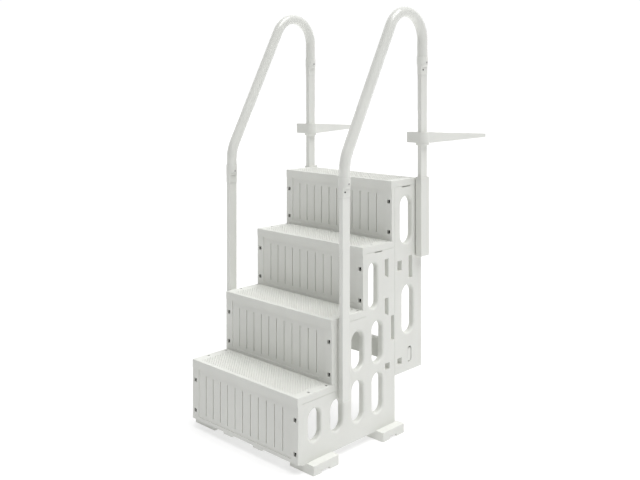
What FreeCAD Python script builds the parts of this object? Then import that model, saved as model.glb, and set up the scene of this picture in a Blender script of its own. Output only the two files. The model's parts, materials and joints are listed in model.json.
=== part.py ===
import FreeCAD, Part
import math
import os

from FreeCAD import Vector

# Four-step entry ladder for an above-ground pool, in millimetres.
# While it is modelled, X = 0 is the plane between the side panels, Y = 0 the front of the
# lowest step and Z = 0 the pool floor.  At the end everything moves together so that the
# origin is the centre of the bounding box's base.

# Driving dimensions
WIDTH = 686.0
STEPS = 4
RISE = 273.0
RUN = 198.0
TOP_TREAD_DEPTH = 188.0
FOOT_HEIGHT = 42.0
CLEARANCE = 0.3

# Treads and risers
TREAD_EDGE = 31.0
TREAD_LIP = 36.0
TREAD_SKIN = 6.0
TREAD_ROUNDING = 3.0
RIB = 4.0
RISER_DEPTH = 24.0
RISER_SETBACK = 3.0
RISER_FIELD = 300.0
FIELD_DEPTH = 3.0
GROOVES = 11
GROOVE_PITCH = 50.0
GROOVE_WIDTH = 5.0
GROOVE_DEPTH = 6.0
GROOVE_LOW = 31.0
GROOVE_HIGH = 210.0
RECESS_SIDE = 17.0
RECESS_DEPTH = 18.0
RISER_SCREW_X = 324.0
RISER_SCREW_HEIGHTS = (40.0, 178.0)
LUG_X = 97.0
LUG_WIDTH = 55.0
LUG_DROP = 8.0

# Side panels
PANEL = 27.0
PANEL_FACE = 4.0
PANEL_RIM = 14.0
WINDOW_RIM = 12.0
WINDOW_ROUNDING = 9.0
PANEL_BOTTOM = 37.0
UPPER_BOTTOM = 249.0
UPPER_REAR = 817.0
TONGUE = 10.0
SEAM = 1.5

# Posts, handrails and couplers
POST_X = 366.5
POST_WIDTH = 22.0
POST_DEPTH = 46.0
POST_WALL = 2.0
FRONT_POST_Y = 253.5
REAR_POST_Y = 794.0
FRONT_POST_BOTTOM = 245.0
REAR_POST_BOTTOM = 779.0
FRONT_COUPLER_BOTTOM = 1099.0
REAR_COUPLER_BOTTOM = 1616.0
TUBE_RADIUS = 24.15
TUBE_WALL = 2.0
RAIL_SLOPE = math.radians(27.7)
RAIL_TOP_RADIUS = 124.6
RAIL_TOP_CENTRE_Z = 1777.4
RAIL_BEND_RADIUS = 180.0
COUPLER_HEIGHT = 83.0
COUPLER_SOCKET = 36.0
COUPLER_NECK = 46.0
COUPLER_WALL = 1.6
BUTTON_RADIUS = 4.7
BUTTON_RISE = 56.0
BUTTON_PROUD = 2.2
RUNNING_GAP = 0.08

# Deck arms
ARM_BOTTOM = 1296.0
ARM_HEIGHT = 51.0
ARM_TIP_HEIGHT = 18.0
ARM_LENGTH = 545.0
ARM_WALL = 4.0
ARM_RELIEF = 2.0
ARM_RING = 32.0
COLLAR_RADIUS = 28.0
COLLAR_FLANGE = 30.5
COLLAR_FLANGE_HEIGHT = 11.0
LEFT_ARM_YAW = 14.3
LEFT_ARM_LIFT = 12.0
ARM_HOLE_X = -22.0
ARM_HOLE_YS = (300.0, 480.0)
ARM_HOLE_RADIUS = 3.5

HALF = WIDTH / 2
PANEL_INNER = HALF - PANEL
PANEL_SPLIT = (STEPS - 1) * RUN + RISER_DEPTH
TOP_REAR = (STEPS - 1) * RUN + TOP_TREAD_DEPTH


def box(x0, x1, y0, y1, z0, z1):
    return Part.makeBox(x1 - x0, y1 - y0, z1 - z0, Vector(x0, y0, z0))


def rod(centre, direction, radius, length):
    return Part.makeCylinder(radius, length, centre, direction)


def mirrored(shape):
    return shape.mirror(Vector(0, 0, 0), Vector(1, 0, 0))


def face_of(points):
    return Part.Face(Part.makePolygon(points + [points[0]]))


def plate_yz(outline, x0, x1):
    """A flat plate with a (Y, Z) outline, from x0 to x1."""
    return face_of([Vector(x0, y, z) for y, z in outline]).extrude(Vector(x1 - x0, 0, 0))


def window(spec, grow=0.0):
    """A cutter through a side panel: (centre Y, width, low Z, high Z), with round ends."""
    centre, width, low, high = spec
    radius = width / 2 + grow
    x0 = PANEL_INNER - 1
    span = PANEL + 2
    cutter = box(x0, x0 + span, centre - radius, centre + radius, low + width / 2, high - width / 2)
    for z in (low + width / 2, high - width / 2):
        cutter = cutter.fuse(rod(Vector(x0, centre, z), Vector(1, 0, 0), radius, span))
    return cutter


def tread_top(step):
    """Height of a tread's surface; step 0 is the lowest."""
    return FOOT_HEIGHT + (step + 1) * RISE


def riser_bottom(step):
    return FOOT_HEIGHT + 3 if step == 0 else tread_top(step - 1)


def tread_rear(step):
    return TOP_REAR if step == STEPS - 1 else (step + 1) * RUN + RISER_DEPTH


# ------------------------------------------------------------------ fasteners

def screw(tip, direction, length, radius, head_radius, head_height):
    """A pan-head screw whose shank ends at tip; direction points from tip to head."""
    shank = rod(tip, direction, radius, length)
    head = rod(tip + direction * length, direction, head_radius, head_height)
    return shank.fuse(head)


def riser_screws():
    found = []
    for step in range(STEPS):
        for side in (-1, 1):
            for height in RISER_SCREW_HEIGHTS:
                y = step * RUN + RISER_SETBACK + RECESS_DEPTH
                tip = Vector(side * RISER_SCREW_X, y + 20, riser_bottom(step) + height)
                found.append(screw(tip, Vector(0, -1, 0), 20, 2.5, 8, 8))
    return Part.makeCompound(found)


def tread_screws():
    found = []
    for step in range(STEPS):
        rear = 160 if step == STEPS - 1 else 185
        for side in (-1, 1):
            for y in (80, rear):
                tip = Vector(side * 325.0, step * RUN + y, tread_top(step) - 42)
                found.append(screw(tip, Vector(0, 0, 1), 35, 2.5, 5, 4))
    return Part.makeCompound(found)


def foot_screws():
    found = []
    for side in (-1, 1):
        for front in FOOT_FRONTS:
            for y in (front + 25, front + FOOT_LENGTH - 25):
                tip = Vector(side * (HALF - PANEL / 2), y, PANEL_BOTTOM + 10)
                found.append(screw(tip, Vector(0, 0, -1), 20, 2.5, 6, 4))
    return Part.makeCompound(found)


def post_bolts():
    """Bolts from the inside of each panel into the blocks and sleeves that hold the posts."""
    found = []
    heights = {FRONT_POST_Y: (320, 550), REAR_POST_Y: (820, 1080)}
    for side in (-1, 1):
        for y, levels in heights.items():
            for z in levels:
                tip = Vector(side * (HALF + 6), y, z)
                found.append(screw(tip, Vector(-side, 0, 0), PANEL + 6, 4, 8, 6))
    return Part.makeCompound(found)


def coupler_screws():
    """One small screw through each coupler's outer face into its post."""
    found = []
    for side in (-1, 1):
        for y, bottom in ((FRONT_POST_Y, FRONT_COUPLER_BOTTOM), (REAR_POST_Y, REAR_COUPLER_BOTTOM)):
            face = POST_X + POST_WIDTH / 2
            tip = Vector(side * (face - 8), y - 11, bottom + 22)
            found.append(screw(tip, Vector(side, 0, 0), 8 + COUPLER_WALL, 2, 3.5, 1.4))
    return Part.makeCompound(found)


# --------------------------------------------------------------- side panels

LOWER_WINDOWS = [
    (100, 72, 114, 248),
    (232, 72, 114, 248),
    (366, 76, 114, 292),
    (498, 72, 114, 292),
    (366, 76, 338, 504),
    (498, 72, 338, 522),
    (470, 60, 582, 784),
]
UPPER_WINDOWS = [
    (705, 88, 836, 1056),
    (716, 84, 422, 644),
]
KEY_SLOT = (728, 27, 286, 360)
LOWER_CATCHES = [
    [(548, 716), (574, 702), (574, 788), (548, 788)],
    [(548, 546), (574, 532), (574, 612), (548, 612)],
    [(592, 415), (614, 415), (614, 526), (592, 526)],
    [(550, 290), (582, 290), (582, 320), (550, 320)],
]
UPPER_CATCHES = [
    [(638, 718), (670, 718), (670, 764), (638, 764)],
    [(721, 674), (748, 674), (748, 778), (721, 778)],
    [(638, 290), (670, 290), (670, 320), (638, 320)],
]
LOWER_RIB_LEVELS = (325, 560, 690, 810)
UPPER_RIB_LEVELS = (395, 660, 820)


def stair_outline(inset):
    """The lower side panel's (Y, Z) outline: three steps in front, one straight edge behind."""
    points = [(RISER_DEPTH + inset, PANEL_BOTTOM + inset)]
    for step in range(STEPS - 1):
        front = step * RUN + RISER_DEPTH + inset
        top = tread_top(step) - TREAD_EDGE - inset
        points += [(front, points[-1][1]), (front, top)]
    points += [(PANEL_SPLIT - inset, points[-1][1]), (PANEL_SPLIT - inset, PANEL_BOTTOM + inset)]
    return points[1:]


def upper_outline(inset):
    top = tread_top(STEPS - 1) - TREAD_EDGE - inset
    front, rear = PANEL_SPLIT + inset, UPPER_REAR - inset
    low = UPPER_BOTTOM + inset
    return [(front, low), (front, top), (rear, top), (rear, low)]


def outer_rims(panel):
    """The edges of the windows in the panel's outer face."""
    face = [f for f in panel.Faces if f.BoundBox.XMin > HALF - 0.01][0]
    return [e for wire in face.Wires if not wire.isSame(face.OuterWire) for e in wire.Edges]


def side_panel(outline, windows, catches, rib_levels):
    """A moulded panel: smooth outside, hollow and ribbed inside, a rim round each opening."""
    panel = plate_yz(outline(0), PANEL_INNER, HALF)
    for spec in windows:
        panel = panel.cut(window(spec))
    panel = panel.makeFillet(WINDOW_ROUNDING, outer_rims(panel))
    core = plate_yz(outline(PANEL_RIM), PANEL_INNER - 1, HALF - PANEL_FACE)
    for spec in windows:
        core = core.cut(window(spec, WINDOW_RIM))
    for catch in catches:
        ys = [y for y, z in catch]
        zs = [z for y, z in catch]
        core = core.cut(box(0, HALF, min(ys) - RIB, max(ys) + RIB, min(zs) - RIB, max(zs) + RIB))
    for level in rib_levels:
        core = core.cut(box(0, HALF, 0, UPPER_REAR, level - RIB / 2, level + RIB / 2))
    for y, z in POST_BOSSES:
        core = core.cut(rod(Vector(0, y, z), Vector(1, 0, 0), 14, HALF))
    panel = panel.cut(core)
    for catch in catches:
        panel = panel.cut(plate_yz(catch, PANEL_INNER - 1, HALF + 1))
    return panel


def drain_gap(y0, y1, top):
    """The thin dark gap between a panel's top edge and the tread on it."""
    return box(HALF - 10, HALF + 1, y0, y1, top - 5, top + 1)


POST_BOSSES = [(FRONT_POST_Y, 320), (FRONT_POST_Y, 550), (REAR_POST_Y, 820), (REAR_POST_Y, 1080)]
TONGUE_LOW = UPPER_BOTTOM + 40
TONGUE_HIGH = tread_top(STEPS - 2) - 60


def seam_tongue(gap):
    x0 = PANEL_INNER + TONGUE - gap
    return box(x0, x0 + 7 + 2 * gap, PANEL_SPLIT, PANEL_SPLIT + TONGUE + gap,
               TONGUE_LOW - gap, TONGUE_HIGH + gap)


def lower_side_panel(fasteners):
    panel = side_panel(stair_outline, LOWER_WINDOWS, LOWER_CATCHES, LOWER_RIB_LEVELS)
    panel = panel.fuse(seam_tongue(0))
    panel = panel.cut(drain_gap(480, 530, tread_top(2) - TREAD_EDGE))
    return panel.cut(fasteners)


def upper_side_panel(fasteners):
    panel = side_panel(upper_outline, UPPER_WINDOWS, UPPER_CATCHES, UPPER_RIB_LEVELS)
    panel = panel.fuse(window(KEY_SLOT, RIB).common(plate_yz(upper_outline(0), PANEL_INNER, HALF)))
    panel = panel.cut(window(KEY_SLOT)).cut(seam_tongue(CLEARANCE))
    panel = panel.cut(drain_gap(672, 732, tread_top(3) - TREAD_EDGE))
    panel = panel.cut(box(HALF - SEAM, HALF + 1, PANEL_SPLIT - 1, PANEL_SPLIT + SEAM,
                          UPPER_BOTTOM - 1, tread_top(STEPS - 1)))
    return panel.cut(fasteners)


def panel_lock_key():
    """The key that fills the upper panel's oval slot, with a thin flange on the inside."""
    centre, width, low, high = KEY_SLOT
    inner = (centre, width - 7, low + 4, high - 9)
    x_head = HALF - 2
    head = window(inner).common(box(PANEL_INNER, x_head, 0, UPPER_REAR, 0, tread_top(3)))
    collar = window((centre, width - CLEARANCE, low, high)).common(
        box(PANEL_INNER, PANEL_INNER + 6, 0, UPPER_REAR, 0, tread_top(3)))
    return head.fuse(collar)


# ------------------------------------------------------------ treads and risers

def tread_rims(body, front, top):
    """The edges round a tread's top and its two upright front corners."""
    boxes = [(e, e.BoundBox) for e in body.Edges]
    upright = [e for e, b in boxes if b.ZLength > TREAD_EDGE - 1 and b.YMax < front + 0.1]
    return upright + [e for e, b in boxes if b.ZMin > top - 0.1]


def tread(step, fasteners):
    front, rear, top = step * RUN, tread_rear(step), tread_top(step)
    body = box(-HALF, HALF, front, rear, top - TREAD_EDGE, top)
    lip = box(-HALF, HALF, front, front + RISER_DEPTH, top - TREAD_LIP, top)
    body = body.fuse(lip).removeSplitter()
    body = body.makeFillet(TREAD_ROUNDING, tread_rims(body, front, top))
    pocket_x = PANEL_INNER - 3
    cells = 8
    pitch = 2 * pocket_x / cells
    pocket_front = front + TREAD_SKIN
    pocket_rear = rear - TREAD_SKIN
    middle = (pocket_front + pocket_rear) / 2
    for cell in range(cells):
        x0 = -pocket_x + cell * pitch + RIB / 2
        x1 = x0 + pitch - RIB
        for y0, y1 in ((pocket_front, middle - RIB / 2), (middle + RIB / 2, pocket_rear)):
            body = body.cut(box(x0, x1, y0, y1, top - TREAD_LIP - 1, top - TREAD_SKIN))
    for x0, x1 in ((-HALF - 1, SEAM - HALF), (HALF - SEAM, HALF + 1)):
        low = top - TREAD_EDGE
        body = body.cut(box(x0, x1, front + RISER_DEPTH, rear + 1, low - 1, low + SEAM))
    return body.cut(fasteners.fuse(screw_wells(step)))


def screw_wells(step):
    """Round wells over the tread screws' heads."""
    rear = 160 if step == STEPS - 1 else 185
    wells = [rod(Vector(side * 325.0, step * RUN + y, tread_top(step) - 7), Vector(0, 0, 1), 6, 8)
             for side in (-1, 1) for y in (80, rear)]
    return Part.makeCompound(wells)


def riser(step, fasteners):
    front = step * RUN + RISER_SETBACK
    back = step * RUN + RISER_DEPTH
    low = riser_bottom(step)
    high = tread_top(step) - TREAD_LIP
    body = box(-HALF, HALF, front, back, low, high)
    if step == 0:
        for side in (-1, 1):
            x = side * LUG_X
            body = body.fuse(box(x - LUG_WIDTH / 2, x + LUG_WIDTH / 2, front, back, low - LUG_DROP, low + 1))
    body = body.cut(box(-RISER_FIELD, RISER_FIELD, front - 1, front + FIELD_DEPTH, low + 15, high + 1))
    floor = front + FIELD_DEPTH
    for groove in range(GROOVES):
        x = (groove - (GROOVES - 1) / 2) * GROOVE_PITCH
        body = body.cut(box(x - GROOVE_WIDTH / 2, x + GROOVE_WIDTH / 2, floor - 1, floor + GROOVE_DEPTH,
                            low + GROOVE_LOW, low + GROOVE_HIGH))
    for cell in range(GROOVES - 1):
        x = (cell - (GROOVES - 2) / 2) * GROOVE_PITCH
        half_cell = GROOVE_PITCH / 2 - GROOVE_WIDTH
        body = body.cut(box(x - half_cell, x + half_cell, floor + 5, back + 1, low + 20, high - 12))
    half = RECESS_SIDE / 2
    for side in (-1, 1):
        for height in RISER_SCREW_HEIGHTS:
            x, z = side * RISER_SCREW_X, low + height
            body = body.cut(box(x - half, x + half, front - 1, front + RECESS_DEPTH, z - half, z + half))
    return body.cut(fasteners)


def rear_cross_brace():
    """A channel beam between the side panels, open to the rear."""
    y0, y1, z0, z1 = 584.0, 611.0, 325.0, 411.0
    beam = box(-PANEL_INNER, PANEL_INNER, y0, y1, z0, z1)
    return beam.cut(box(-PANEL_INNER + 6, PANEL_INNER - 6, y0 + 5, y1 + 1, z0 + 5, z1 - 5))


# ------------------------------------------------------------------------ feet

FOOT_FRONTS = (50.0, 485.0)
FOOT_LENGTH = 150.0
FOOT_INNER = 244.0
FOOT_OUTER = 385.0
FOOT_TOP = 40.0
FOOT_NOTCH = 10.0


def foot(front, fasteners):
    """A block under a side panel with an arch below and a groove that locates the panel."""
    rear = front + FOOT_LENGTH
    block = box(FOOT_INNER, FOOT_OUTER, front, rear, 0, FOOT_TOP)
    block = block.makeFillet(5, [e for e in block.Edges if abs(e.Length - FOOT_TOP) < 0.1])
    block = block.cut(box(PANEL_INNER, HALF, front - 1, rear + 1, PANEL_BOTTOM, FOOT_TOP + 1))
    block = block.cut(box(FOOT_INNER - 1, FOOT_OUTER + 1, front + 46, front + 95, -1, FOOT_NOTCH))
    for x0, x1 in ((FOOT_INNER + 6, PANEL_INNER - 6), (HALF + 6, FOOT_OUTER - 6)):
        block = block.cut(box(x0, x1, front + 52, front + 89, FOOT_NOTCH - 1, FOOT_TOP - 6))
    for y in (front + 25, front + FOOT_LENGTH - 25):
        block = block.cut(rod(Vector(HALF - PANEL / 2, y, -1), Vector(0, 0, 1), 7, 28))
    return block.cut(fasteners)


# ------------------------------------------------- posts, sleeves and end caps

def rounded_bar(x, y, width, depth, radius, z0, z1):
    bar = box(x - width / 2, x + width / 2, y - depth / 2, y + depth / 2, z0, z1)
    return bar.makeFillet(radius, [e for e in bar.Edges if abs(e.Length - (z1 - z0)) < 0.01])


def post(y, bottom, coupler_bottom):
    top = coupler_bottom + COUPLER_SOCKET
    outside = rounded_bar(POST_X, y, POST_WIDTH, POST_DEPTH, 3, bottom, top)
    inside = rounded_bar(POST_X, y, POST_WIDTH - 2 * POST_WALL, POST_DEPTH - 2 * POST_WALL, 1.5,
                         bottom - 1, top + 1)
    return outside.cut(inside)


def end_cap(y, bottom):
    plug = rounded_bar(POST_X, y, POST_WIDTH - 2 * POST_WALL, POST_DEPTH - 2 * POST_WALL, 1.5,
                       bottom - 3, bottom + 15)
    lid = rounded_bar(POST_X, y, POST_WIDTH, POST_DEPTH, 3, bottom - 3, bottom)
    return plug.fuse(lid).removeSplitter()


def front_post_block(fasteners):
    """Spacer rail between the side panel and the front post, set back behind the post's face."""
    block = box(HALF, POST_X - POST_WIDTH / 2, FRONT_POST_Y - 14, FRONT_POST_Y + 15,
                FRONT_POST_BOTTOM, tread_top(1) - 4)
    return block.cut(fasteners)


def rear_post_sleeve(fasteners):
    """Sleeve that the rear post stands in, on a narrower pad against the side panel."""
    low, high = REAR_POST_BOTTOM - 8, tread_top(STEPS - 1) + 4
    y0, y1 = REAR_POST_Y - 27, REAR_POST_Y + 34
    shell = box(HALF + 6, POST_X + POST_WIDTH / 2 + 3, y0, y1, low, high)
    pad = box(HALF, HALF + 7, REAR_POST_Y - 18, REAR_POST_Y + 22, low, high - 8)
    bore = rounded_bar(POST_X, REAR_POST_Y, POST_WIDTH, POST_DEPTH, 3, REAR_POST_BOTTOM - 3, high + 1)
    return shell.fuse(pad).cut(bore).cut(fasteners)


# --------------------------------------------------- handrails and couplers

def handrail():
    """One bent tube: upright, sloping grip, round top, upright."""
    front_y, rear_y = FRONT_POST_Y, REAR_POST_Y
    start_z = FRONT_COUPLER_BOTTOM + COUPLER_NECK
    end_z = REAR_COUPLER_BOTTOM + COUPLER_NECK
    sin, cos = math.sin(RAIL_SLOPE), math.cos(RAIL_SLOPE)
    top = Vector(POST_X, rear_y - RAIL_TOP_RADIUS, RAIL_TOP_CENTRE_Z)
    slope_end = top + Vector(0, -cos, sin) * RAIL_TOP_RADIUS
    corner_z = slope_end.z - (slope_end.y - front_y) * cos / sin
    reach = RAIL_BEND_RADIUS * math.tan(RAIL_SLOPE / 2)
    bend_start = Vector(POST_X, front_y, corner_z - reach)
    bend_end = Vector(POST_X, front_y + reach * sin, corner_z + reach * cos)
    bend_centre = bend_start + Vector(0, RAIL_BEND_RADIUS, 0)
    half_turn = RAIL_SLOPE / 2
    bend_middle = bend_centre + Vector(0, -math.cos(half_turn), math.sin(half_turn)) * RAIL_BEND_RADIUS
    top_turn = (math.pi - RAIL_SLOPE) / 2
    top_middle = top + Vector(0, math.cos(top_turn), math.sin(top_turn)) * RAIL_TOP_RADIUS
    top_end = top + Vector(0, RAIL_TOP_RADIUS, 0)
    start = Vector(POST_X, front_y, start_z)
    edges = [
        Part.makeLine(start, bend_start),
        Part.Arc(bend_start, bend_middle, bend_end).toShape(),
        Part.makeLine(bend_end, slope_end),
        Part.Arc(slope_end, top_middle, top_end).toShape(),
        Part.makeLine(top_end, Vector(POST_X, rear_y, end_z)),
    ]
    path = Part.Wire(edges)

    def swept(radius):
        ring = Part.Wire(Part.makeCircle(radius, start, Vector(0, 0, 1)))
        return path.makePipeShell([ring], True, False)

    return swept(TUBE_RADIUS).cut(swept(TUBE_RADIUS - TUBE_WALL))


def ring_wire(width, depth, radius, z):
    """Rounded rectangle of eight edges; with radius = width / 2 = depth / 2 it is nearly a circle."""
    corners = [(1, 1), (-1, 1), (-1, -1), (1, -1)]
    points = []
    for index, (sx, sy) in enumerate(corners):
        centre = Vector(sx * (width / 2 - radius), sy * (depth / 2 - radius), z)
        angles = [math.radians(90 * index + turn) for turn in (0, 45, 90)]
        points.append([centre + Vector(math.cos(a), math.sin(a), 0) * radius for a in angles])
    edges = []
    for index, arc in enumerate(points):
        edges.append(Part.Arc(*arc).toShape())
        edges.append(Part.makeLine(arc[2], points[(index + 1) % 4][0]))
    return Part.Wire(edges)


def rail_coupler(y, bottom):
    """Collar that is rectangular over the post and round over the rail, with a button hole."""
    outer = TUBE_RADIUS + COUPLER_WALL
    width, depth = POST_WIDTH + 2 * COUPLER_WALL, POST_DEPTH + 2 * COUPLER_WALL
    shoulder = COUPLER_SOCKET - 2
    waist = COUPLER_NECK + 4
    foot_ring, shoulder_ring = (ring_wire(width, depth, 5, z) for z in (0, shoulder))
    lower = Part.Solid(Part.makeLoft([foot_ring, shoulder_ring], True))
    cone = Part.makeLoft([ring_wire(width, depth, 5, shoulder),
                          ring_wire(2 * outer, 2 * outer, outer - 0.2, waist)], True)
    upper = Part.makeLoft([ring_wire(2 * outer, 2 * outer, outer - 0.2, waist),
                           ring_wire(2 * outer, 2 * outer, outer - 0.2, COUPLER_HEIGHT)], True)
    body = lower.fuse(cone).fuse(upper).removeSplitter()
    body.translate(Vector(POST_X, y, bottom))
    socket = rounded_bar(POST_X, y, POST_WIDTH, POST_DEPTH, 3, bottom - 1, bottom + COUPLER_SOCKET)
    bore = rod(Vector(POST_X, y, bottom + COUPLER_NECK), Vector(0, 0, 1), TUBE_RADIUS, COUPLER_HEIGHT)
    drain = rod(Vector(POST_X, y, bottom), Vector(0, 0, 1), 7, COUPLER_HEIGHT)
    return body.cut(socket).cut(bore).cut(drain)


def button_hole(y, bottom):
    return rod(Vector(POST_X, y, bottom + BUTTON_RISE), Vector(1, 0, 0),
               BUTTON_RADIUS + RUNNING_GAP, 40)


def snap_button(y, bottom):
    """A domed button with a flange behind the tube wall; its stem is pushed out by the clip."""
    centre = Vector(POST_X, y, bottom + BUTTON_RISE)
    out = Vector(1, 0, 0)
    length = TUBE_RADIUS + COUPLER_WALL + BUTTON_PROUD
    start = TUBE_RADIUS - 6.6
    stem = rod(centre + out * start, out, BUTTON_RADIUS, length - start)
    flange = rod(centre + out * (start + 1.1), out, 6.3, 1.8)
    rim = [e for e in stem.Edges if abs(e.BoundBox.XMin - e.BoundBox.XMax) < 0.01
           and e.BoundBox.XMin > centre.x + length - 0.1]
    return stem.makeFillet(1.8, rim).fuse(flange).removeSplitter()


def snap_clip(y, bottom):
    """A bent spring strip in the tube: one leg behind the button, one against the far wall."""
    near, far = TUBE_RADIUS - 12.5, 2.9 - TUBE_RADIUS
    thick, half_width = 1.0, 5.0
    low, high = bottom + COUPLER_NECK + 2, bottom + 96
    radius = (near - far) / 2
    middle = (near + far) / 2
    legs = [box(near - thick, near, -half_width, half_width, low, high),
            box(far, far + thick, -half_width, half_width, low, high)]
    outer = rod(Vector(middle, -half_width, high), Vector(0, 1, 0), radius, 2 * half_width)
    inner = rod(Vector(middle, -half_width, high), Vector(0, 1, 0), radius - thick, 2 * half_width)
    arch = outer.cut(inner).common(box(far, near, -half_width, half_width, high, high + radius))
    clip = legs[0].fuse(legs[1]).fuse(arch).removeSplitter()
    clip.translate(Vector(POST_X, y, 0))
    return clip


# ------------------------------------------------------------------ deck arms

def arm_height(y):
    """Height of the arm's sloping top above its underside."""
    return ARM_HEIGHT - (ARM_HEIGHT - ARM_TIP_HEIGHT) * max(y, 0) / ARM_LENGTH


def arm_solid(outline, low, drop):
    """A plan outline with a flat bottom at low and the arm's sloping top, drop below it."""
    flat = face_of([Vector(x, y, low) for x, y in outline])
    prism = flat.extrude(Vector(0, 0, ARM_HEIGHT - low))
    profile = [(-100, low - 1), (-100, ARM_HEIGHT - drop), (0, ARM_HEIGHT - drop),
               (ARM_LENGTH, ARM_TIP_HEIGHT - drop), (ARM_LENGTH + 1, low - 1)]
    return prism.common(plate_yz(profile, -150, 150))


def deck_arm():
    """Arm with a round socket for its collar, a wing at the root and a wedge to the tip.

    It is made with the collar's axis on Z and its underside at Z = 0.
    """
    outline = [(-66, -ARM_RING), (0, -ARM_RING), (26, 0), (-5, ARM_LENGTH), (-40, ARM_LENGTH), (-66, 20)]
    arm = arm_solid(outline, 0, 0)
    arm = arm.fuse(rod(Vector(0, 0, 0), Vector(0, 0, 1), ARM_RING, ARM_HEIGHT)).removeSplitter()
    hollow = [(-60, 38), (20, 38), (-8, ARM_LENGTH - 5), (-35, ARM_LENGTH - 5)]
    pocket = arm_solid(hollow, -1, ARM_WALL)
    for y in range(110, 541, 72):
        pocket = pocket.cut(box(-100, 100, y, y + RIB, -2, ARM_HEIGHT))
    for y in ARM_HOLE_YS:
        pocket = pocket.cut(rod(Vector(ARM_HOLE_X, y, -2), Vector(0, 0, 1), 11, ARM_HEIGHT + 4))
    arm = arm.cut(pocket)
    for y in ARM_HOLE_YS:
        arm = arm.cut(rod(Vector(ARM_HOLE_X, y, -2), Vector(0, 0, 1), ARM_HOLE_RADIUS, ARM_HEIGHT + 4))
    arm = arm.cut(box(-100, 100, -100, 36, -1, ARM_RELIEF))
    return arm.cut(rod(Vector(0, 0, -1), Vector(0, 0, 1), COLLAR_RADIUS + RUNNING_GAP, ARM_HEIGHT + 2))


def arm_collar():
    """Collar that slides on the rectangular post; round outside, with a flange under the arm."""
    collar = rod(Vector(0, 0, 0), Vector(0, 0, 1), COLLAR_RADIUS, ARM_HEIGHT)
    flange_top = ARM_RELIEF - CLEARANCE
    flange = rod(Vector(0, 0, flange_top - COLLAR_FLANGE_HEIGHT), Vector(0, 0, 1), COLLAR_FLANGE,
                 COLLAR_FLANGE_HEIGHT)
    bore = rounded_bar(0, 0, POST_WIDTH + 2 * CLEARANCE, POST_DEPTH + 2 * CLEARANCE, 3,
                       -COLLAR_FLANGE_HEIGHT - 1, ARM_HEIGHT + 1)
    return collar.fuse(flange).removeSplitter().cut(bore)


def collar_screw():
    """Set screw through the rear of the flange that clamps the collar on its post."""
    tip = Vector(0, POST_DEPTH / 2 + 2 * CLEARANCE, ARM_RELIEF - CLEARANCE - COLLAR_FLANGE_HEIGHT / 2)
    return screw(tip, Vector(0, 1, 0), COLLAR_FLANGE - tip.y, 2.5, 4, 3)


def on_rear_post(shape, side):
    """Places an arm piece on the left (-1) or right (1) rear post at its rest height."""
    placed = shape.copy()
    lift = LEFT_ARM_LIFT if side < 0 else 0
    placed.translate(Vector(side * POST_X, REAR_POST_Y, ARM_BOTTOM + lift))
    return placed


# -------------------------------------------------------------- the assembly

def build():
    nodes = {}
    nodes["riser_screws"] = riser_screws()
    nodes["tread_screws"] = tread_screws()
    nodes["foot_screws"] = foot_screws()
    nodes["post_bolts"] = post_bolts()
    nodes["coupler_screws"] = coupler_screws()
    fasteners = Part.makeCompound(list(nodes.values()))
    for step in range(STEPS):
        nodes["tread_%d" % (step + 1)] = tread(step, fasteners)
        nodes["riser_%d" % (step + 1)] = riser(step, fasteners)
    nodes["rear_cross_brace"] = rear_cross_brace()
    caps = []
    right = {
        "lower_side_panel": lower_side_panel(fasteners),
        "upper_side_panel": upper_side_panel(fasteners),
        "panel_lock_key": panel_lock_key(),
        "front_foot": foot(FOOT_FRONTS[0], fasteners),
        "rear_foot": foot(FOOT_FRONTS[1], fasteners),
        "front_post_block": front_post_block(fasteners),
        "rear_post_sleeve": rear_post_sleeve(fasteners),
        "front_post": post(FRONT_POST_Y, FRONT_POST_BOTTOM, FRONT_COUPLER_BOTTOM).cut(fasteners),
        "rear_post": post(REAR_POST_Y, REAR_POST_BOTTOM, REAR_COUPLER_BOTTOM).cut(fasteners),
        "front_rail_coupler": rail_coupler(FRONT_POST_Y, FRONT_COUPLER_BOTTOM).cut(fasteners),
        "rear_rail_coupler": rail_coupler(REAR_POST_Y, REAR_COUPLER_BOTTOM).cut(fasteners),
        "handrail": handrail(),
    }
    for name, shape in right.items():
        nodes[name + "_right"] = shape
        nodes[name + "_left"] = mirrored(shape)
    for y, bottom in ((FRONT_POST_Y, FRONT_POST_BOTTOM), (REAR_POST_Y, REAR_POST_BOTTOM)):
        cap = end_cap(y, bottom)
        caps += [cap, mirrored(cap)]
    nodes["post_end_caps"] = Part.makeCompound(caps)
    for end, y, bottom in (("front", FRONT_POST_Y, FRONT_COUPLER_BOTTOM),
                           ("rear", REAR_POST_Y, REAR_COUPLER_BOTTOM)):
        for side, shift in (("right", 0), ("left", -2 * POST_X)):
            move = Vector(shift, 0, 0)
            hole, button, clip = (f(y, bottom) for f in (button_hole, snap_button, snap_clip))
            for shape in (hole, button, clip):
                shape.translate(move)
            for holed in (end + "_rail_coupler_" + side, "handrail_" + side):
                nodes[holed] = nodes[holed].cut(hole)
            nodes["snap_button_%s_%s" % (end, side)] = button
            nodes["snap_clip_%s_%s" % (end, side)] = clip
    arm = deck_arm()
    screw_hole = collar_screw()
    collar = arm_collar().cut(screw_hole)
    turned = arm.copy()
    turned.rotate(Vector(0, 0, 0), Vector(0, 0, 1), LEFT_ARM_YAW)
    nodes["deck_arm_right"] = on_rear_post(arm, 1)
    nodes["deck_arm_left"] = on_rear_post(turned, -1)
    for side, sign in (("right", 1), ("left", -1)):
        nodes["arm_collar_" + side] = on_rear_post(collar, sign)
        nodes["collar_screw_" + side] = on_rear_post(screw_hole, sign)
    return nodes


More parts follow.
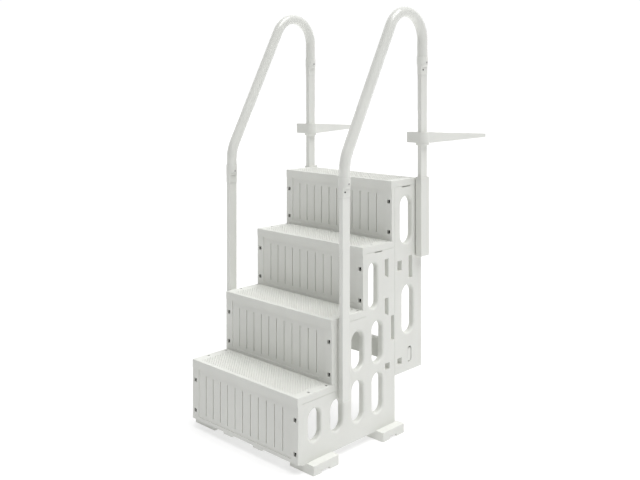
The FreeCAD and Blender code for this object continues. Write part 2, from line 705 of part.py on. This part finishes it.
def export(nodes):
    whole = Part.makeCompound(list(nodes.values())).BoundBox
    origin = Vector(whole.Center.x, whole.Center.y, whole.ZMin)
    os.makedirs("parts", exist_ok=True)
    for name, shape in nodes.items():
        placed = shape.copy()
        placed.translate(-origin)
        placed.exportStep("parts/%s.step" % name)
    print("origin moved to", origin, "size", whole.XLength, whole.YLength, whole.ZLength)


export(build())
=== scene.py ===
import json
import math

import bmesh
import bpy
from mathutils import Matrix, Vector


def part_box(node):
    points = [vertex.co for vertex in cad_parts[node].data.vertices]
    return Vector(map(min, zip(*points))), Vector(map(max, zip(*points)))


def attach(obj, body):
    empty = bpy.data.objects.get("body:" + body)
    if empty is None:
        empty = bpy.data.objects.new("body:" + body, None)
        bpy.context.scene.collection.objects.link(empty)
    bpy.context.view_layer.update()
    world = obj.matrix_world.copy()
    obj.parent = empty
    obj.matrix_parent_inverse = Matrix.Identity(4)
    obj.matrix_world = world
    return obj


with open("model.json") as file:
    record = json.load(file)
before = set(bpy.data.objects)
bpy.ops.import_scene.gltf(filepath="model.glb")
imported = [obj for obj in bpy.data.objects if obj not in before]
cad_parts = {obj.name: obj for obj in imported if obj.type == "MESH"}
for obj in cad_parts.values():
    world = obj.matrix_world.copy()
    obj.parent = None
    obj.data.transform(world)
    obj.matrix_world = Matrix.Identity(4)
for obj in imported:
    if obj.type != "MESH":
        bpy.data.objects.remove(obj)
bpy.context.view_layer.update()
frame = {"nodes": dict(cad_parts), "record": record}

nodes = frame["nodes"]
scene = bpy.context.scene
MM = 0.001

# Camera: eye height, distance and turn are those of a person standing to the right in front
EYE = Vector((2.7841, -3.0039, 1.598))
EYE_TURN = math.radians(43.896)
LENS = 46.74
SHIFT_Y = -0.2526

# Studio light
BACKDROP_DIRECTION = (-0.69, 0.72, 0.0)
WORLD_FRONT = 0.14
WORLD_BACK = 1.03
WORLD_FADE = (-0.25, 0.85)
KEY_SOURCE = (0.33, 0.03, 0.94)
KEY_STRENGTH = 2.75
KEY_SPREAD = 50

# Studio floor
FLOOR_SIZE = 60
FLOOR_DROP = 0.5 * MM
FLOOR_GREYS = (0.42, 0.44)
FLOOR_GLOW = 0.6

# Anti-slip field of each tread
STEPS = 4
FIELD_SIDE_MARGIN = 43 * MM
FIELD_FRONT_MARGIN = 17 * MM
FIELD_REAR_MARGIN = 26 * MM
TOP_FIELD_REAR_MARGIN = 14 * MM
STUD_PITCH = 15 * MM
STUD_LONG = 5.6 * MM
STUD_WIDE = 3.6 * MM
STUD_HEIGHT = 2.2 * MM
STUD_TOP = 0.62
STUD_ROOT = 0.2 * MM


# ------------------------------------------------------------------ materials

def new_material(name):
    material = bpy.data.materials.new(name)
    material.use_nodes = True
    tree = material.node_tree
    tree.nodes.clear()
    output = tree.nodes.new("ShaderNodeOutputMaterial")
    shader = tree.nodes.new("ShaderNodeBsdfPrincipled")
    tree.links.new(shader.outputs["BSDF"], output.inputs["Surface"])
    return material, tree, shader


def noise(tree, scale, detail=3.0, roughness=0.5):
    """Noise in object space, which is the row frame for every piece here."""
    where = tree.nodes.new("ShaderNodeTexCoord")
    texture = tree.nodes.new("ShaderNodeTexNoise")
    texture.inputs["Scale"].default_value = scale
    texture.inputs["Detail"].default_value = detail
    texture.inputs["Roughness"].default_value = roughness
    tree.links.new(where.outputs["Object"], texture.inputs["Vector"])
    return texture.outputs["Fac"]


def between(tree, factor, low, high):
    """Two colours blended by a 0 to 1 factor, with the blend's ends pulled in."""
    ramp = tree.nodes.new("ShaderNodeValToRGB")
    ramp.color_ramp.elements[0].position = 0.3
    ramp.color_ramp.elements[1].position = 0.7
    ramp.color_ramp.elements[0].color = (*low, 1)
    ramp.color_ramp.elements[1].color = (*high, 1)
    tree.links.new(factor, ramp.inputs["Fac"])
    return ramp.outputs["Color"]


def bump(tree, shader, layers):
    """Stacks (height, strength, distance) layers of bump on the shader."""
    normal = None
    for height, strength, distance in layers:
        node = tree.nodes.new("ShaderNodeBump")
        node.inputs["Strength"].default_value = strength
        node.inputs["Distance"].default_value = distance
        tree.links.new(height, node.inputs["Height"])
        if normal:
            tree.links.new(normal, node.inputs["Normal"])
        normal = node.outputs["Normal"]
    tree.links.new(normal, shader.inputs["Normal"])


def scaled(colour, factor):
    return tuple(channel * factor for channel in colour)


def moulded_resin(name, colour, roughness=0.5, grain=0.35):
    """Injection-moulded resin: slow shade drift, uneven gloss, slight waves and a pebbled grain."""
    material, tree, shader = new_material(name)
    drift = noise(tree, 5.0, 4.0, 0.6)
    tone = between(tree, drift, scaled(colour, 0.965), scaled(colour, 1.02))
    tree.links.new(tone, shader.inputs["Base Color"])
    gloss = tree.nodes.new("ShaderNodeMapRange")
    gloss.inputs["To Min"].default_value = roughness - 0.07
    gloss.inputs["To Max"].default_value = roughness + 0.08
    tree.links.new(noise(tree, 38.0, 5.0, 0.65), gloss.inputs["Value"])
    tree.links.new(gloss.outputs["Result"], shader.inputs["Roughness"])
    pebble = noise(tree, 900.0, 2.0)
    waviness = noise(tree, 14.0, 2.0)
    bump(tree, shader, [(waviness, 0.12, 0.002), (pebble, grain, 0.00025)])
    shader.inputs["Specular IOR Level"].default_value = 0.42
    return material


def powder_coat(name, colour):
    """Baked powder on tube: satin, with the low orange-peel of a sprayed coat."""
    material, tree, shader = new_material(name)
    drift = noise(tree, 9.0, 3.0)
    tone = between(tree, drift, scaled(colour, 0.98), scaled(colour, 1.015))
    tree.links.new(tone, shader.inputs["Base Color"])
    shader.inputs["Roughness"].default_value = 0.27
    shader.inputs["Coat Weight"].default_value = 0.4
    shader.inputs["Coat Roughness"].default_value = 0.12
    peel = noise(tree, 420.0, 1.0)
    bump(tree, shader, [(peel, 0.14, 0.0004)])
    return material


def brushed_steel(name, colour, stretch):
    """Stainless steel with drawn lines across one direction."""
    material, tree, shader = new_material(name)
    where = tree.nodes.new("ShaderNodeTexCoord")
    mapping = tree.nodes.new("ShaderNodeMapping")
    mapping.inputs["Scale"].default_value = stretch
    lines = tree.nodes.new("ShaderNodeTexNoise")
    lines.inputs["Scale"].default_value = 60.0
    lines.inputs["Detail"].default_value = 4.0
    tree.links.new(where.outputs["Object"], mapping.inputs["Vector"])
    tree.links.new(mapping.outputs["Vector"], lines.inputs["Vector"])
    tone = between(tree, lines.outputs["Fac"], scaled(colour, 0.82), scaled(colour, 1.1))
    tree.links.new(tone, shader.inputs["Base Color"])
    shader.inputs["Metallic"].default_value = 1.0
    shader.inputs["Roughness"].default_value = 0.33
    bump(tree, shader, [(lines.outputs["Fac"], 0.2, 0.0002)])
    return material


RESIN = (0.765, 0.772, 0.735)
TREAD_RESIN = (0.76, 0.767, 0.73)
COAT = (0.765, 0.772, 0.735)

MATERIALS = {
    "panel_plastic": moulded_resin("panel_resin", RESIN),
    "tread_plastic": moulded_resin("tread_resin", TREAD_RESIN, 0.55, 0.45),
    "riser_plastic": moulded_resin("riser_resin", RESIN, 0.52),
    "foot_plastic": moulded_resin("foot_resin", scaled(RESIN, 0.99), 0.58, 0.5),
    "arm_plastic": moulded_resin("arm_resin", RESIN, 0.45, 0.25),
    "fitting_plastic": moulded_resin("fitting_resin", RESIN, 0.42, 0.2),
    "button_plastic": moulded_resin("button_resin", (0.42, 0.42, 0.41), 0.4, 0.1),
    "rail_coating": powder_coat("rail_powder_coat", COAT),
    # The screw steel is coloured near black, far darker than bare steel: painted shade that stands in
    # for the dark inside the deep screw recesses.
    "screw_steel": brushed_steel("screw_steel", (0.02, 0.02, 0.02), (1.0, 6.0, 1.0)),
    "spring_steel": brushed_steel("spring_steel", (0.5, 0.5, 0.5), (1.0, 1.0, 9.0)),
}


def slot_of(name):
    for subpart in frame["record"]["subparts"]:
        if subpart["node"] == name:
            return subpart["material_slot"]
    raise KeyError(name)


# ------------------------------------------------------- finish of CAD nodes

WELD_DISTANCE = 0.02 * MM
BEVEL_FROM_ANGLE = math.radians(38)
SPLIT_FROM_ANGLE = math.radians(36)
LARGE_FACE_WEIGHT = 80
EDGE_RADIUS = {
    "panel_plastic": 1.2 * MM,
    "tread_plastic": 2.2 * MM,
    "riser_plastic": 0.9 * MM,
    "foot_plastic": 1.6 * MM,
    "arm_plastic": 1.4 * MM,
    "fitting_plastic": 0.8 * MM,
    "button_plastic": 0.0,
    "rail_coating": 0.4 * MM,
    "screw_steel": 0.4 * MM,
    "spring_steel": 0.15 * MM,
}


def soften_edges(piece, radius):
    """Welds the imported facets, rounds the sharp edges as a mould does and keeps flat faces flat."""
    weld = piece.modifiers.new("weld", "WELD")
    weld.merge_threshold = WELD_DISTANCE
    if radius:
        bevel = piece.modifiers.new("edge_radius", "BEVEL")
        bevel.width = radius
        bevel.segments = 2
        bevel.limit_method = "ANGLE"
        bevel.angle_limit = BEVEL_FROM_ANGLE
        bevel.use_clamp_overlap = True
    split = piece.modifiers.new("hard_edges", "EDGE_SPLIT")
    split.split_angle = SPLIT_FROM_ANGLE
    split.use_edge_sharp = False
    weighted = piece.modifiers.new("flat_faces", "WEIGHTED_NORMAL")
    weighted.weight = LARGE_FACE_WEIGHT
    weighted.keep_sharp = True


def finish_cad_nodes():
    for name, piece in nodes.items():
        slot = slot_of(name)
        piece.data.materials.clear()
        piece.data.materials.append(MATERIALS[slot])
        for polygon in piece.data.polygons:
            polygon.use_smooth = True
        soften_edges(piece, EDGE_RADIUS[slot])


finish_cad_nodes()


# ------------------------------------------------------------ anti-slip studs

def add_stud(mesh, centre, long, wide, height):
    """A low diamond-shaped stud with sloping sides, rooted just under the tread's surface."""
    def diamond(scale, z):
        corners = ((long, 0), (0, wide), (-long, 0), (0, -wide))
        return [mesh.verts.new(centre + Vector((x * scale, y * scale, z))) for x, y in corners]

    low = diamond(1, -STUD_ROOT)
    top = diamond(STUD_TOP, height)
    for index in range(4):
        following = (index + 1) % 4
        mesh.faces.new((low[index], low[following], top[following], top[index]))
    mesh.faces.new(top)
    mesh.faces.new(low[::-1])


def anti_slip_field(step):
    """Staggered rows of studs over a tread's walking area, in front of the next riser."""
    low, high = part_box("tread_%d" % (step + 1))
    rear_margin = TOP_FIELD_REAR_MARGIN if step == STEPS - 1 else FIELD_REAR_MARGIN
    x0, x1 = low.x + FIELD_SIDE_MARGIN, high.x - FIELD_SIDE_MARGIN
    y0, y1 = low.y + FIELD_FRONT_MARGIN, high.y - rear_margin
    mesh = bmesh.new()
    half = STUD_PITCH / 2
    rows = int((y1 - y0) / half)
    columns = int((x1 - x0) / STUD_PITCH)
    for row in range(rows):
        y = y0 + (row + 0.5) * half
        shift = 0 if row % 2 == 0 else half
        for column in range(columns):
            x = x0 + (column + 0.5) * STUD_PITCH + shift
            if x < x1:
                add_stud(mesh, Vector((x, y, high.z)), STUD_LONG, STUD_WIDE, STUD_HEIGHT)
    data = bpy.data.meshes.new("anti_slip_studs_%d" % (step + 1))
    mesh.to_mesh(data)
    mesh.free()
    studs = bpy.data.objects.new(data.name, data)
    scene.collection.objects.link(studs)
    data.materials.append(MATERIALS["tread_plastic"])
    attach(studs, "frame")


for step in range(STEPS):
    anti_slip_field(step)


# ------------------------------------------------------ floor, light, camera

def pale_floor():
    bpy.ops.mesh.primitive_plane_add(size=FLOOR_SIZE, location=(0, 0, -FLOOR_DROP))
    floor = bpy.context.object
    floor.name = "studio_floor"
    material, tree, shader = new_material("studio_floor_paint")
    low, high = ((grey, grey, grey) for grey in FLOOR_GREYS)
    tone = between(tree, noise(tree, 1.5), low, high)
    tree.links.new(tone, shader.inputs["Base Color"])
    shader.inputs["Roughness"].default_value = 0.9
    shader.inputs["Emission Color"].default_value = (1, 1, 1, 1)
    shader.inputs["Emission Strength"].default_value = FLOOR_GLOW
    floor.data.materials.append(material)


def studio_world():
    """White behind the object as it is first seen, dimmer in front of it."""
    world = bpy.data.worlds.new("studio")
    world.use_nodes = True
    tree = world.node_tree
    background = tree.nodes["Background"]
    where = tree.nodes.new("ShaderNodeTexCoord")
    towards = tree.nodes.new("ShaderNodeVectorMath")
    towards.operation = "DOT_PRODUCT"
    towards.inputs[1].default_value = BACKDROP_DIRECTION
    fade = tree.nodes.new("ShaderNodeMapRange")
    fade.interpolation_type = "SMOOTHSTEP"
    fade.inputs["From Min"].default_value, fade.inputs["From Max"].default_value = WORLD_FADE
    fade.inputs["To Min"].default_value = WORLD_FRONT
    fade.inputs["To Max"].default_value = WORLD_BACK
    tree.links.new(where.outputs["Generated"], towards.inputs[0])
    tree.links.new(towards.outputs["Value"], fade.inputs["Value"])
    tree.links.new(fade.outputs["Result"], background.inputs["Strength"])
    background.inputs["Color"].default_value = (1, 1, 1, 1)
    scene.world = world


def soft_sun(name, source, strength, spread):
    """A far, wide light that shines from source towards the origin."""
    data = bpy.data.lights.new(name, "SUN")
    data.energy = strength
    data.angle = math.radians(spread)
    light = bpy.data.objects.new(name, data)
    light.rotation_euler = Vector(source).to_track_quat("Z", "Y").to_euler()
    scene.collection.objects.link(light)


def studio_light():
    scene.view_settings.view_transform = "Standard"
    studio_world()
    soft_sun("key", KEY_SOURCE, KEY_STRENGTH, KEY_SPREAD)


def camera():
    data = bpy.data.cameras.new("camera")
    data.sensor_width = 36
    data.lens = LENS
    data.shift_y = SHIFT_Y
    data.clip_end = 200
    eye = bpy.data.objects.new("camera", data)
    eye.location = EYE
    eye.rotation_euler = (math.radians(90), 0, EYE_TURN)
    scene.collection.objects.link(eye)
    scene.camera = eye


pale_floor()
studio_light()
camera()
